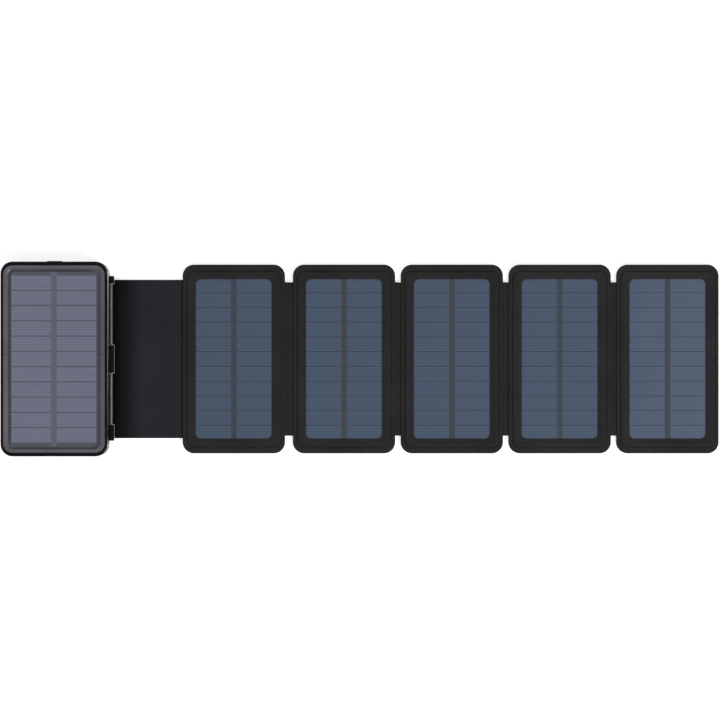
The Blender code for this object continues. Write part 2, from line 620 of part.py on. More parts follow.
def build_hinge_plate():
    """Steel plate whose two rolled sleeves turn on the pin between the lugs."""
    upper, run = offset_line(SLOPE_START, SLOPE_END, TONGUE_T / 2.0)
    lower, _ = offset_line(SLOPE_START, SLOPE_END, -TONGUE_T / 2.0)
    tongue = [tuple(lower), level_point(lower, run, 0.0), (TONGUE_END, 0.0), (TONGUE_END, TONGUE_T),
              level_point(upper, run, TONGUE_T), tuple(upper)]
    spans = [(LUG_SPANS[0][1] + CLEAR, LUG_SPANS[1][0] - CLEAR),
             (LUG_SPANS[1][1] + CLEAR, LUG_SPANS[2][0] - CLEAR)]
    plate = prism("hinge_plate", [tongue], spans[0][0], spans[1][1], "Y")
    cut(plate, block("knuckle_gap", (PIN_X - 3.0, LUG_SPANS[1][0] - CLEAR, -1.0),
                     (PIN_X + LUG_R + CLEAR, LUG_SPANS[1][1] + CLEAR, PIN_Z + 3.0)))
    for low, high in spans:
        ring = [circle(SLEEVE_R, ROUND_SIDES, (PIN_X, PIN_Z)), circle(SLEEVE_IN, ROUND_SIDES, (PIN_X, PIN_Z))]
        fuse(plate, prism("sleeve", ring, low, high, "Y"))
        seam = radial_slot(ROLL_SEAM_ANGLE, SLEEVE_IN / 2.0, SLEEVE_R + 1.0, ROLL_SEAM_W)
        cut(plate, prism("roll_seam", [seam], low - 1.0, high + 1.0, "Y"))
    return finish(plate, PLATE_STEEL, (PIN_X, 0.0, PIN_Z))


# ---------------------------------------------------------------- flap
def build_flap():
    """Three stiffened strips of the flap and the thin creases that join them."""
    half = FLAP_L / 2.0
    lower, run = offset_line(SLOPE_START, SLOPE_END, TONGUE_T / 2.0 + CLEAR)
    upper, _ = offset_line(SLOPE_START, SLOPE_END, TONGUE_T / 2.0 + CLEAR + 1.1)
    edge = PIN_X + SLEEVE_R + CLEAR + 0.2
    step = TONGUE_T + CLEAR
    end = FLAP_CREASE_X[0] - CREASE_GAP / 2.0
    section = [column_point(lower, run, edge), level_point(lower, run, step), (TONGUE_END + CLEAR, step),
               (TONGUE_END + CLEAR, 0.0), (end, 0.0), (end, STRIP_T), level_point(upper, run, STRIP_T),
               column_point(upper, run, edge)]
    inner = prism("flap_inner", [section], -half, half, "Y")
    for low, high in LUG_SPANS:
        cut(inner, block("lug_notch", (PIN_X - 3.0, low - CLEAR, -1.0),
                         (PIN_X + LUG_R + CLEAR, high + CLEAR, PIN_Z + 4.0)))
    finish(inner, FLAP_CLOTH, (PIN_X, 0.0, PIN_Z))

    for name, number in (("flap_middle", 0), ("flap_outer", 1)):
        low = FLAP_CREASE_X[number] + CREASE_GAP / 2.0
        high = FLAP_CREASE_X[number + 1] - CREASE_GAP / 2.0
        strip = block(name, (low, -half, 0.0), (high, half, STRIP_T))
        finish(strip, FLAP_CLOTH, (FLAP_CREASE_X[number], 0.0, CREASE_Z))

    for number, middle in enumerate(FLAP_CREASE_X):
        far = middle + 2.5 if number < 2 else LEAF_LEFT[0] - CLEAR
        crease = block(f"flap_crease_{number + 1}", (middle - 2.5, -half, STRIP_T + CLEAR),
                       (far, half, STRIP_T + CLEAR + 0.4))
        anchor = (PIN_X, 0.0, PIN_Z) if number == 0 else (FLAP_CREASE_X[number - 1], 0.0, CREASE_Z)
        finish(crease, FLAP_CLOTH, anchor)


# ---------------------------------------------------------------- leaves
def build_leaf(number):
    """One solar leaf: back cover, stiffening board, solar plate and windowed front cover."""
    left = LEAF_LEFT[number - 1]
    middle = (left + LEAF_W / 2.0, 0.0)
    origin = LEAF_ORIGINS[number - 1]
    outline = rounded(LEAF_W, LEAF_L, LEAF_R, middle)

    back = prism(f"leaf_{number}_rear_cover", [outline], 0.0, COVER_T, "Z", 0.3, 1, "low")
    finish(back, LEAF_CLOTH, origin)

    skirt = 2.0
    board_z = COVER_T + CLEAR
    inside = skirt + CLEAR
    board_outline = rounded(LEAF_W - 2.0 * inside, LEAF_L - 2.0 * inside, LEAF_R - inside, middle)
    board = prism(f"leaf_{number}_board", [board_outline], board_z, board_z + BOARD_T)
    finish(board, STIFFENER, origin)

    plate_z = board_z + BOARD_T + CLEAR
    plate_top = LEAF_T - COVER_T - CLEAR
    size = (LEAF_WINDOW_W + 5.0, LEAF_WINDOW_L + 5.0)
    solar_plate(f"leaf_{number}_solar_plate", size, 1.5, plate_z, plate_top, middle[0], LEAF_CELL_W,
                LEAF_CELL_PITCH, CELL_BLUE, origin)

    front = prism(f"leaf_{number}_front_cover", [outline], board_z, LEAF_T, "Z", 0.8, 2, "high")
    pocket = rounded(LEAF_W - 2.0 * skirt, LEAF_L - 2.0 * skirt, LEAF_R - skirt, middle)
    window = rounded(LEAF_WINDOW_W, LEAF_WINDOW_L, LEAF_WINDOW_R, middle)
    seam_out = rounded(LEAF_W - 5.6, LEAF_L - 11.0, LEAF_R - 2.8, middle)
    seam_in = rounded(LEAF_W - 7.2, LEAF_L - 12.6, LEAF_R - 3.6, middle)
    cut(front, prism("cover_pocket", [pocket], 0.0, LEAF_T - COVER_T),
        prism("cover_window", [window], LEAF_T - COVER_T - 0.5, LEAF_T + 1.0),
        prism("cover_seam", [seam_out, seam_in], LEAF_T - 0.25, LEAF_T + 1.0))
    finish(front, LEAF_CLOTH, origin)


def build_folds():
    """Soft strips that join each leaf to the next."""
    for number in range(1, LEAF_COUNT):
        low = LEAF_LEFT[number - 1] + LEAF_W + CLEAR
        high = LEAF_LEFT[number] - CLEAR
        strip = block(f"fold_{number}_{number + 1}", (low, -FOLD_L / 2.0, 1.4), (high, FOLD_L / 2.0, 2.8))
        finish(strip, FOLD_CLOTH, LEAF_ORIGINS[number - 1])


build_rear_shell()
build_front_bezel()
build_gasket()
build_case_screws()
solar_plate("bank_solar_plate", (BANK_WINDOW_W - 2.0 * CLEAR, BANK_WINDOW_L - 2.0 * CLEAR),
            BANK_WINDOW_R - CLEAR, BEZEL_Z + SEAT_T + CLEAR, BANK_H - CLEAR, 0.0, BANK_CELL_W,
            BANK_CELL_PITCH, BANK_CELL_BLUE, (0.0, 0.0, 0.0))
build_battery_cells()
build_circuit_board()
for port_number, port_x in enumerate(USB_A_X, start=1):
    build_port(f"usb_a_port_{port_number}", port_x, USB_A, (5.6, 3.0, 4.8, 1.5))
build_port("usb_c_port", USB_C_X, USB_C, (3.3, 1.2, 2.0, 1.0))
build_port_cover()
build_side_parts()
build_hinge()
build_hinge_plate()
build_flap()
for leaf_index in range(1, LEAF_COUNT + 1):
    build_leaf(leaf_index)
build_folds()
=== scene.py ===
# %% [markdown]
# # A folding solar charger
# The set lies open and face up: a power bank on the left, a long pin hinge, a soft flap and
# five thin solar leaves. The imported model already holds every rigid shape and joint. This
# lesson dresses it: leather skins, polished edges, cell patterns, light and a camera.
# All sizes are in metres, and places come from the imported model.

import json
import math

import bmesh
import bpy
from mathutils import Matrix, Vector, noise


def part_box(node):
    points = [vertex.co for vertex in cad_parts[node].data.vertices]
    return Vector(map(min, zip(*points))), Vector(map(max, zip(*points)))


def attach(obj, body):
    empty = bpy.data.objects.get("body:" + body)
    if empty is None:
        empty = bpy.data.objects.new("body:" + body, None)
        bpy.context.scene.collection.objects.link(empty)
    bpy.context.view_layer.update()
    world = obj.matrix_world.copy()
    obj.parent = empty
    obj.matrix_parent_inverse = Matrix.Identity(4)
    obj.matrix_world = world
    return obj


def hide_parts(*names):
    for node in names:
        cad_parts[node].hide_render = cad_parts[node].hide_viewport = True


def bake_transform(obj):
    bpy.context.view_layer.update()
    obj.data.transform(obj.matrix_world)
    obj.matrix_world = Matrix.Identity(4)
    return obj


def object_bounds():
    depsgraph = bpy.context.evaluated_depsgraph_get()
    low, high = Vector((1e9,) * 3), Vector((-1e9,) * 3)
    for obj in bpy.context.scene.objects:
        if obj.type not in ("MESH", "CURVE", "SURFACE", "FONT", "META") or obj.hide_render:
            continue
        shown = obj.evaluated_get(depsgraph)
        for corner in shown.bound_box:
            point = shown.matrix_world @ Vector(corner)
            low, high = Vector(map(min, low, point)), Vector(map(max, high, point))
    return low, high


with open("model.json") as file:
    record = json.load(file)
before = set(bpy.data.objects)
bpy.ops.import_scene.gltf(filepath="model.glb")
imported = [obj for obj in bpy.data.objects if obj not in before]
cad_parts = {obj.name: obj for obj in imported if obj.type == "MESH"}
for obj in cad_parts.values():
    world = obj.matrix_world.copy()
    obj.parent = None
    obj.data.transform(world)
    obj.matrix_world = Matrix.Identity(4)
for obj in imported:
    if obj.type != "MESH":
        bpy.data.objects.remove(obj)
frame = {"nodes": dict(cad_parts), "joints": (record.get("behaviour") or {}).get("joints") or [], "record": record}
cad_low, cad_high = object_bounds()
MM = 0.001
LEAVES = range(1, 6)
LAST_LEAF = LEAVES[-1]
body_of_node = {node: body for body, nodes in frame["record"]["behaviour"]["bodies"].items()
                for node in nodes}
joints = {joint["name"]: joint for joint in frame["joints"]}


# %% [markdown]
# ## Finishes
# Every finish is a small node tree. A helper starts a Principled surface and another adds a
# node with its inputs, so that each recipe below reads as a list of what the surface shows.
# Patterns read Object coordinates: every piece sits at the origin, so they hold still on it.

# %% Helpers for node trees
def finish(name, colour, roughness, metallic=0.0, specular=0.5):
    """A new material with its Principled shader and its node tree."""
    made = bpy.data.materials.new(name)
    made.use_nodes = True
    tree = made.node_tree
    shader = tree.nodes["Principled BSDF"]
    shader.inputs["Base Color"].default_value = (*colour, 1.0)
    shader.inputs["Roughness"].default_value = roughness
    shader.inputs["Metallic"].default_value = metallic
    shader.inputs["Specular IOR Level"].default_value = specular
    return made, tree, shader


def add(tree, kind, settings=None, **inputs):
    """A node of a kind, with its settings; i0 is its first input, given as a value or a link."""
    node = tree.nodes.new(kind)
    for key, value in (settings or {}).items():
        setattr(node, key, value)
    for key, value in inputs.items():
        by_number = key[0] == "i" and key[1:].isdigit()
        socket = node.inputs[int(key[1:]) if by_number else key]
        if isinstance(value, bpy.types.NodeSocket):
            tree.links.new(value, socket)
        else:
            socket.default_value = value
    return node


def place(tree, scale=(1.0, 1.0, 1.0), shift=(0.0, 0.0, 0.0)):
    """Object coordinates, shifted and scaled."""
    source = add(tree, "ShaderNodeTexCoord").outputs["Object"]
    return add(tree, "ShaderNodeMapping", i0=source, i1=shift, i3=scale).outputs[0]


def math_node(tree, operation, first, second=0.0):
    """One sum on two values or sockets."""
    return add(tree, "ShaderNodeMath", {"operation": operation}, i0=first, i1=second).outputs[0]


def blend_colours(tree, amount, first, second):
    """A mix of two colours by an amount."""
    node = add(tree, "ShaderNodeMix", {"data_type": "RGBA"})
    for index, value in ((0, amount), (6, first), (7, second)):
        if isinstance(value, bpy.types.NodeSocket):
            tree.links.new(value, node.inputs[index])
        else:
            node.inputs[index].default_value = value if index == 0 else (*value, 1.0)
    return node.outputs[2]


def spread(tree, value, low, high, to_low, to_high):
    """A value moved from one range to another, clamped."""
    node = add(tree, "ShaderNodeMapRange", i0=value, i1=low, i2=high, i3=to_low, i4=to_high)
    return node.outputs[0]


def emboss(tree, shader, height, depth, distance):
    """Feed a height into the surface as bump."""
    bump = add(tree, "ShaderNodeBump", Strength=depth, Distance=distance, Height=height)
    tree.links.new(bump.outputs["Normal"], shader.inputs["Normal"])


# %% [markdown]
# ### Leather-look cloth
# The covers are thin coated cloth with a fine pebble grain. Voronoi cells make the pebbles,
# a softer noise breaks them up, and a slow noise shifts the tone as handling does. Beside the
# hinge the flap is painted darker: painted shade for the bank's shadow and the cloth's slope down from the
# sleeves.

# %% Grained leather
PEBBLES, WEAVE, HANDLING = 1500.0, 600.0, 22.0  # how fine each pattern is, per metre
GRAIN_DEPTH = 0.00006
PIT_BLACK = (0.002, 0.002, 0.002)
# painted shade: the near-black the flap takes right beside the hinge
HINGE_SHADE_BLACK = (0.0012, 0.0012, 0.0015)


def leather(name, dark, light, roughness, shaded=None, specular=0.12):
    """Grained cloth; shaded is a pair of X places between which painted shade goes from near-black to its tone."""
    made, tree, shader = finish(name, dark, roughness, specular=specular)
    grain = add(tree, "ShaderNodeTexVoronoi", {"feature": "DISTANCE_TO_EDGE"}, Vector=place(tree),
                Scale=PEBBLES)
    soft = add(tree, "ShaderNodeTexNoise", Vector=place(tree), Scale=WEAVE, Detail=4.0)
    tone = add(tree, "ShaderNodeTexNoise", Vector=place(tree), Scale=HANDLING, Detail=3.0)
    pebble = spread(tree, grain.outputs["Distance"], 0.0, 0.12, 0.0, 1.0)
    height = math_node(tree, "ADD", pebble, math_node(tree, "MULTIPLY", soft.outputs[0], 0.8))
    worn = spread(tree, tone.outputs[0], 0.3, 0.7, 0.0, 1.0)
    base = blend_colours(tree, worn, dark, light)
    if shaded:
        # painted shade beside the hinge, fading out between the two X places
        along = add(tree, "ShaderNodeSeparateXYZ", i0=place(tree)).outputs[0]
        base = blend_colours(tree, spread(tree, along, *shaded, 0.0, 1.0), HINGE_SHADE_BLACK, base)
    pits = blend_colours(tree, spread(tree, pebble, 0.0, 1.0, 0.35, 0.0), base, PIT_BLACK)
    tree.links.new(pits, shader.inputs["Base Color"])
    tree.links.new(spread(tree, height, 0.0, 1.6, roughness + 0.12, roughness - 0.05),
                   shader.inputs["Roughness"])
    emboss(tree, shader, height, 0.35, GRAIN_DEPTH)
    return made


# the span along X over which the flap's painted shade fades out
FLAP_SHADED = (0.0475, 0.068)
LEAF_LEATHER = leather("leaf_leather", (0.018, 0.0175, 0.018), (0.0265, 0.0245, 0.0245), 0.55)
FOLD_LEATHER = leather("fold_leather", (0.016, 0.0165, 0.0175), (0.023, 0.0225, 0.0225), 0.58)
FLAP_LEATHER = leather("flap_leather", (0.021, 0.0235, 0.0275), (0.027, 0.0295, 0.034), 0.62,
                       FLAP_SHADED, 0.04)
BACK_LEATHER = leather("back_leather", (0.011, 0.011, 0.0115), (0.017, 0.0165, 0.016), 0.6)
print("leathers made")


# %% [markdown]
# ### Moulded plastic and rubber
# Moulded parts have an even fine spark texture, and their tone drifts a little. A noise at
# a tenth of a millimetre gives the texture, and a wide one the drift.

# %% Moulded surfaces
SPARK, TONE_DRIFT = 4200.0, 35.0  # how fine the texture and the drift are, per metre
TONE_CHANGE = 0.12
SPARK_DEPTH = 0.00004


def moulded(name, colour, roughness, texture=0.25, metallic=0.0, specular=0.5):
    """An even plastic or rubber whose tone drifts a little."""
    made, tree, shader = finish(name, colour, roughness, metallic, specular)
    fine = add(tree, "ShaderNodeTexNoise", Vector=place(tree), Scale=SPARK, Detail=2.0)
    wide = add(tree, "ShaderNodeTexNoise", Vector=place(tree), Scale=TONE_DRIFT, Detail=3.0)
    lighter = tuple(min(1.0, part * (1.0 + TONE_CHANGE) + 0.0008) for part in colour)
    darker = tuple(part * (1.0 - TONE_CHANGE) for part in colour)
    drift = spread(tree, wide.outputs[0], 0.3, 0.7, 0.0, 1.0)
    tree.links.new(blend_colours(tree, drift, darker, lighter), shader.inputs["Base Color"])
    tree.links.new(spread(tree, wide.outputs[0], 0.2, 0.8, roughness - 0.04, roughness + 0.06),
                   shader.inputs["Roughness"])
    emboss(tree, shader, fine.outputs[0], texture, SPARK_DEPTH)
    return made


SHELL_PLASTIC = moulded("shell_plastic", (0.0035, 0.0035, 0.004), 0.36, specular=0.12)
# painted shade: the black of the groove round the bank's window
GROOVE_SHADE_BLACK = moulded("groove_shade_black", (0.016, 0.017, 0.02), 0.6, specular=0.15)
BEZEL_PLASTIC = moulded("bezel_plastic", (0.098, 0.102, 0.118), 0.34, specular=0.4)
COVER_RUBBER = moulded("cover_rubber_finish", (0.006, 0.006, 0.006), 0.7, specular=0.12)
BUTTON_RUBBER = moulded("button_finish", (0.02, 0.02, 0.022), 0.5, specular=0.2)
LUG_PLASTIC = moulded("lug_plastic", (0.003, 0.0027, 0.003), 0.42, specular=0.1)
SEAL_FOAM = moulded("seal_foam", (0.012, 0.012, 0.012), 0.9, texture=0.6)
BOARD_FIBRE = moulded("board_fibre", (0.2, 0.18, 0.15), 0.85, texture=0.6)
CIRCUIT_MASK = moulded("circuit_mask", (0.01, 0.09, 0.035), 0.35)
POUCH_FOIL = moulded("pouch_foil", (0.55, 0.56, 0.58), 0.35, metallic=0.8)
LENS_PLASTIC = moulded("lens_plastic", (0.42, 0.44, 0.47), 0.12, texture=0.05)
PIPE_PLASTIC = moulded("pipe_plastic", (0.36, 0.38, 0.4), 0.3, texture=0.1)
print("plastics and rubbers made")


# %% [markdown]
# The flat of the shell beside the hinge is satin: folded leaves brush past it and leave a fine
# haze, which only shows when it is seen along the surface. Sheen is made for that. The other
# helper draws the fine line where the two halves of the bezel's moulding meet.

# %% Satin flat and moulding line
SIDE_SATIN = moulded("side_satin", (0.0035, 0.0035, 0.004), 0.4, specular=0.2)
satin_shader = SIDE_SATIN.node_tree.nodes["Principled BSDF"]
satin_shader.inputs["Sheen Weight"].default_value = 1.0
satin_shader.inputs["Sheen Roughness"].default_value = 0.25
LINE_LOW, LINE_HIGH = 3.2 * MM, 3.7 * MM


def tint_block(material, low, high, colour):
    """Colour what lies between two corners, on top of what the material has."""
    tree = material.node_tree
    shader = tree.nodes["Principled BSDF"]
    spot = add(tree, "ShaderNodeSeparateXYZ", i0=place(tree))
    inside = 1.0
    for axis in range(3):
        above = math_node(tree, "GREATER_THAN", spot.outputs[axis], low[axis])
        below = math_node(tree, "LESS_THAN", spot.outputs[axis], high[axis])
        inside = math_node(tree, "MULTIPLY", inside, math_node(tree, "MULTIPLY", above, below))
    base = shader.inputs["Base Color"].links[0].from_socket
    tree.links.new(blend_colours(tree, inside, base, colour), shader.inputs["Base Color"])


tint_block(BEZEL_PLASTIC, (-1.0, LINE_LOW, 0.0), (1.0, LINE_HIGH, 1.0), (0.03, 0.03, 0.035))
print("moulding line wide (mm):", round((LINE_HIGH - LINE_LOW) / MM, 2))


# %% [markdown]
# ### Steel
# The sleeves and the pin are drawn and rolled, so faint scratches run along them. A noise
# stretched along Y draws those, and they shift the roughness more than the colour.

# %% Drawn steel
ALONG_Y = (9000.0, 60.0, 9000.0)  # scratches are 150 times as long as they are wide
STAINS = 70.0


def drawn_steel(name, colour, roughness):
    """Steel with scratches along Y and faint stains."""
    made, tree, shader = finish(name, colour, roughness, 1.0)
    scratch = add(tree, "ShaderNodeTexNoise", Vector=place(tree, ALONG_Y), Scale=1.0, Detail=4.0)
    stain = add(tree, "ShaderNodeTexNoise", Vector=place(tree), Scale=STAINS, Detail=4.0)
    duller = tuple(part * 0.78 for part in colour)
    clean = spread(tree, stain.outputs[0], 0.35, 0.7, 0.0, 1.0)
    tree.links.new(blend_colours(tree, clean, duller, colour), shader.inputs["Base Color"])
    tree.links.new(spread(tree, scratch.outputs[0], 0.3, 0.7, roughness - 0.08, roughness + 0.14),
                   shader.inputs["Roughness"])
    emboss(tree, shader, scratch.outputs[0], 0.12, 0.00003)
    return made


SLEEVE_STEEL = drawn_steel("sleeve_steel", (0.26, 0.25, 0.26), 0.52)
PIN_STEEL = drawn_steel("pin_steel_finish", (0.66, 0.66, 0.67), 0.2)
SCREW_STEEL = drawn_steel("screw_finish", (0.22, 0.22, 0.23), 0.35)
PORT_STEEL = drawn_steel("port_finish", (0.6, 0.6, 0.61), 0.25)
print("steels made")


# %% [markdown]
# ### Solar cells
# The cells stand a hair above the plate, so height alone parts cell from gap. On a cell, a
# fine ladder of silver finger lines runs across, at a whole number of lines to each cell,
# and slow noise gives the blue its shift. A clear coat stands for the laminate.

# %% Cell pattern
GAP_BELOW, CELL_BELOW = 0.00012, 0.00004  # below the first depth it is gap, above the second cell
DIVIDER_HALF = 0.0023
TINT_REACH = 0.03
CELL_DRIFT, ROW_DRIFT = 26.0, (4.0, 160.0, 1.0)
LINE_DEPTH = 0.00002


def cells(name, plate, cell_colour, second_colour, gap_colour, divider_colour, pitch, fingers, warm,
          contrast):
    """Cells on one plate: warm shifts the right side, contrast is how far the lines stand out."""
    low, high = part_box(plate)
    middle = (low + high) / 2.0
    made, tree, shader = finish(name, cell_colour, 0.42, specular=0.35)
    spot = add(tree, "ShaderNodeSeparateXYZ", i0=place(tree, shift=(-middle.x, -middle.y, 0.0)))
    raised = spread(tree, spot.outputs[2], high.z - GAP_BELOW, high.z - CELL_BELOW, 0.0, 1.0)
    turns = math_node(tree, "MULTIPLY", spot.outputs[1], 2.0 * math.pi * fingers / pitch)
    wave = math_node(tree, "COSINE", turns)
    line = spread(tree, wave, -0.2, 0.95, 0.0, 1.0)
    drift = add(tree, "ShaderNodeTexNoise", Vector=place(tree), Scale=CELL_DRIFT, Detail=2.0)
    row_drift = add(tree, "ShaderNodeTexNoise", Vector=place(tree, ROW_DRIFT), Scale=1.0, Detail=1.0)
    shade = math_node(tree, "ADD", math_node(tree, "MULTIPLY", drift.outputs[0], 0.6),
                      math_node(tree, "MULTIPLY", row_drift.outputs[0], 0.4))
    blue = blend_colours(tree, spread(tree, shade, 0.35, 0.65, 0.0, 1.0), cell_colour, second_colour)
    side = spread(tree, spot.outputs[0], -TINT_REACH, TINT_REACH, 0.0, 1.0)
    tinted = blend_colours(tree, math_node(tree, "MULTIPLY", side, warm), blue, second_colour)
    light = tuple(min(1.0, part * (1.0 + contrast)) for part in cell_colour)
    ladder = blend_colours(tree, line, tinted, light)
    from_middle = math_node(tree, "ABSOLUTE", spot.outputs[0])
    near_middle = math_node(tree, "LESS_THAN", from_middle, DIVIDER_HALF)
    gap = blend_colours(tree, near_middle, gap_colour, divider_colour)
    tree.links.new(blend_colours(tree, raised, gap, ladder), shader.inputs["Base Color"])
    tree.links.new(spread(tree, raised, 0.0, 1.0, 0.55, 0.38), shader.inputs["Roughness"])
    emboss(tree, shader, line, 0.2, LINE_DEPTH)
    shader.inputs["Coat Weight"].default_value = 0.35
    shader.inputs["Coat Roughness"].default_value = 0.25
    return made


# %% [markdown]
# ## Camera, floor and light
# The view is straight down, from far enough for the perspective to be slight. The lens
# follows from how wide a strip of the set has to be in view at that height.

# %% Camera
FRAME_WIDE = 0.5767
EYE_HEIGHT = 2.4
OFF_CENTRE = (-0.0006, -0.0008)
LEAF_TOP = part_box("leaf_3_front_cover")[1].z
camera_data = bpy.data.cameras.new("camera")
camera_data.sensor_width = 36.0
camera_data.lens = camera_data.sensor_width * (EYE_HEIGHT - LEAF_TOP) / FRAME_WIDE
camera = bpy.data.objects.new("camera", camera_data)
camera.location = ((cad_low.x + cad_high.x) / 2.0 + OFF_CENTRE[0], OFF_CENTRE[1], EYE_HEIGHT)
bpy.context.scene.collection.objects.link(camera)
bpy.context.scene.camera = camera
print("camera lens:", round(camera_data.lens, 1))

# %% [markdown]
# The set lies on a plain white table. The table glows a little, as a white sweep lit from
# behind does, so shadows on it all but vanish. It lies a hair below the set, so no faces meet.

# %% Floor and sky
FLOOR_DROP = 0.0003
FLOOR_GLOW = 0.62
SKY_GLOW = 0.38
WHITE = (1.0, 1.0, 1.0, 1.0)
floor_shape = bmesh.new()
bmesh.ops.create_grid(floor_shape, x_segments=1, y_segments=1, size=30.0)
bmesh.ops.translate(floor_shape, verts=floor_shape.verts, vec=(0.0, 0.0, -FLOOR_DROP))
floor_mesh = bpy.data.meshes.new("floor")
floor_shape.to_mesh(floor_mesh)
floor_shape.free()
floor = bpy.data.objects.new("floor", floor_mesh)
bpy.context.scene.collection.objects.link(floor)
floor_finish, _, floor_shader = finish("floor_finish", (0.9, 0.9, 0.9), 0.9, specular=0.1)
floor_shader.inputs["Emission Color"].default_value = WHITE
floor_shader.inputs["Emission Strength"].default_value = FLOOR_GLOW
floor_mesh.materials.append(floor_finish)

sky = bpy.data.worlds.new("studio_sky")
sky.use_nodes = True
sky.node_tree.nodes["Background"].inputs["Color"].default_value = WHITE
sky.node_tree.nodes["Background"].inputs["Strength"].default_value = SKY_GLOW
bpy.context.scene.world = sky
bpy.context.scene.view_settings.view_transform = "Standard"
print("floor is below the set by (mm):", round(FLOOR_DROP / MM, 2))


# %% [markdown]
# A strong light from the front right and a weak one from the back left, both broad, light
# the set evenly, so that dark leather keeps its grain.

# %% Lights
def soft_light(name, spot, size, power):
    """A square light that faces the middle of the set."""
    data = bpy.data.lights.new(name, "AREA")
    data.size = size
    data.energy = power
    lamp = bpy.data.objects.new(name, data)
    lamp.location = spot
    aim = Vector(((cad_low.x + cad_high.x) / 2.0, 0.0, 0.0)) - Vector(spot)
    lamp.rotation_mode = "QUATERNION"
    lamp.rotation_quaternion = aim.to_track_quat("-Z", "Y")
    bpy.context.scene.collection.objects.link(lamp)


soft_light("key_light", spot=(1.5, -1.3, 1.9), size=1.2, power=42.0)
soft_light("fill_light", spot=(-1.1, 1.2, 2.2), size=2.0, power=10.0)
print("lights:", [lamp.name for lamp in bpy.data.lights])


# %% [markdown]
# ## From shape to piece
# Every piece made here ends the same way: its normals are set outwards, it gets its finish,
# it rides on a body when one is given, and the imported nodes it stands for are hidden.

# %% Finishing a piece
def to_piece(name, shape, look, body, stands_for=(), smooth_angle=40.0):
    """Turn a bmesh into a finished piece that rides on a body, when one is given."""
    bmesh.ops.recalc_face_normals(shape, faces=shape.faces)
    limit = math.radians(smooth_angle)
    for face in shape.faces:
        face.smooth = True
    for edge in shape.edges:
        edge.smooth = len(edge.link_faces) == 2 and edge.calc_face_angle(0.0) < limit
    mesh = bpy.data.meshes.new(name)
    shape.to_mesh(mesh)
    shape.free()
    mesh.materials.append(look)
    piece = bpy.data.objects.new(name, mesh)
    bpy.context.scene.collection.objects.link(piece)
    if body:
        even = piece.modifiers.new("even_shading", "WEIGHTED_NORMAL")
        even.keep_sharp = True
        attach(piece, body)
    if stands_for:
        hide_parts(*stands_for)
    print(name, len(mesh.polygons), "faces")
    return piece


# %% [markdown]
# ## Polished rigid parts
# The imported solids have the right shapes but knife-sharp edges. A copy of each is merged,
# its flat faces are dissolved to clean outlines, and its hard edges get a small rounding
# that catches light. A real moulding has the same rounding, from the tool that cut it.

# %% Rounding a copy
HARD_ANGLE = 32.0
EDGE_SEGMENTS = 2
SHELL_EDGE = 0.25 * MM
RUBBER_EDGE = 0.2 * MM
LUG_EDGE = 0.3 * MM
SLEEVE_EDGE = 0.06 * MM


def polish(node, look, width, name):
    """A copy of a rigid node with its hard edges rounded."""
    shape = bmesh.new()
    shape.from_mesh(frame["nodes"][node].data)
    bmesh.ops.remove_doubles(shape, verts=shape.verts, dist=1e-6)
    bmesh.ops.dissolve_limit(shape, angle_limit=math.radians(1.0), verts=shape.verts,
                             edges=shape.edges)
    hard = [edge for edge in shape.edges
            if len(edge.link_faces) == 2 and edge.calc_face_angle(0.0) > math.radians(HARD_ANGLE)]
    bmesh.ops.bevel(shape, geom=hard, offset=width, segments=EDGE_SEGMENTS, profile=0.5,
                    affect="EDGES", material=-1, clamp_overlap=True, loop_slide=True)
    bmesh.ops.remove_doubles(shape, verts=shape.verts, dist=1e-7)
    return to_piece(name, shape, look, body_of_node[node], (node,))


shell = polish("rear_shell", SHELL_PLASTIC, SHELL_EDGE, "bank_shell")
polish("port_cover", COVER_RUBBER, RUBBER_EDGE, "port_door")
polish("power_button", BUTTON_RUBBER, RUBBER_EDGE, "push_button")
polish("hinge_bracket", LUG_PLASTIC, LUG_EDGE, "hinge_lugs")
polish("hinge_plate", SLEEVE_STEEL, SLEEVE_EDGE, "hinge_sleeves")

# %% [markdown]
# The shell's wall above the hinge takes the satin finish. Its faces are the ones that look
# along X, lie within a fifth of a millimetre of the outside and stand above the bracket.

# %% Satin wall
SATIN_SLOT = 1
side_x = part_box("rear_shell")[1].x - 0.2 * MM
hinge_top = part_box("hinge_bracket")[1].z
shell.data.materials.append(SIDE_SATIN)
satin_faces = [face for face in shell.data.polygons
               if face.normal.x > 0.99 and face.center.x > side_x and face.center.z > hinge_top]
for face in satin_faces:
    face.material_index = SATIN_SLOT
print("satin faces:", len(satin_faces))


# %% [markdown]
# ## Drawing a pressed profile
# The bezel and the leaf covers are both frames whose section goes in, up and down in small
# steps. One face with rounded corners is the start, and each inset steps inwards and up or
# down, so a whole profile is a short list of steps, the way a press tool is drawn. A frame's
# outside and its window have different corners, so each is a stack of steps of its own, and
# a bridge joins the two.

# %% Steps of the press tool
def rounded_face(shape, width, length, radius, middle, height, upwards=True, segments=10, cuts=14):
    """Add one face with rounded corners, its straight sides cut into short edges."""
    known = set(shape.faces)
    corners = bmesh.ops.create_grid(shape, x_segments=1, y_segments=1, size=0.5)["verts"]
    bmesh.ops.scale(shape, verts=corners, vec=(width, length, 1.0))
    bmesh.ops.bevel(shape, geom=corners, offset=radius, segments=segments, profile=0.5,
                    affect="VERTICES", material=-1)
    face = [item for item in shape.faces if item not in known][0]
    sides = [edge for edge in face.edges if edge.calc_length() > radius * 2.0]
    bmesh.ops.subdivide_edges(shape, edges=sides, cuts=cuts)
    face = [item for item in shape.faces if item not in known][0]
    bmesh.ops.translate(shape, verts=face.verts[:], vec=(middle.x, middle.y, height))
    face.normal_update()
    if (face.normal.z > 0.0) != upwards:
        face.normal_flip()
    return face


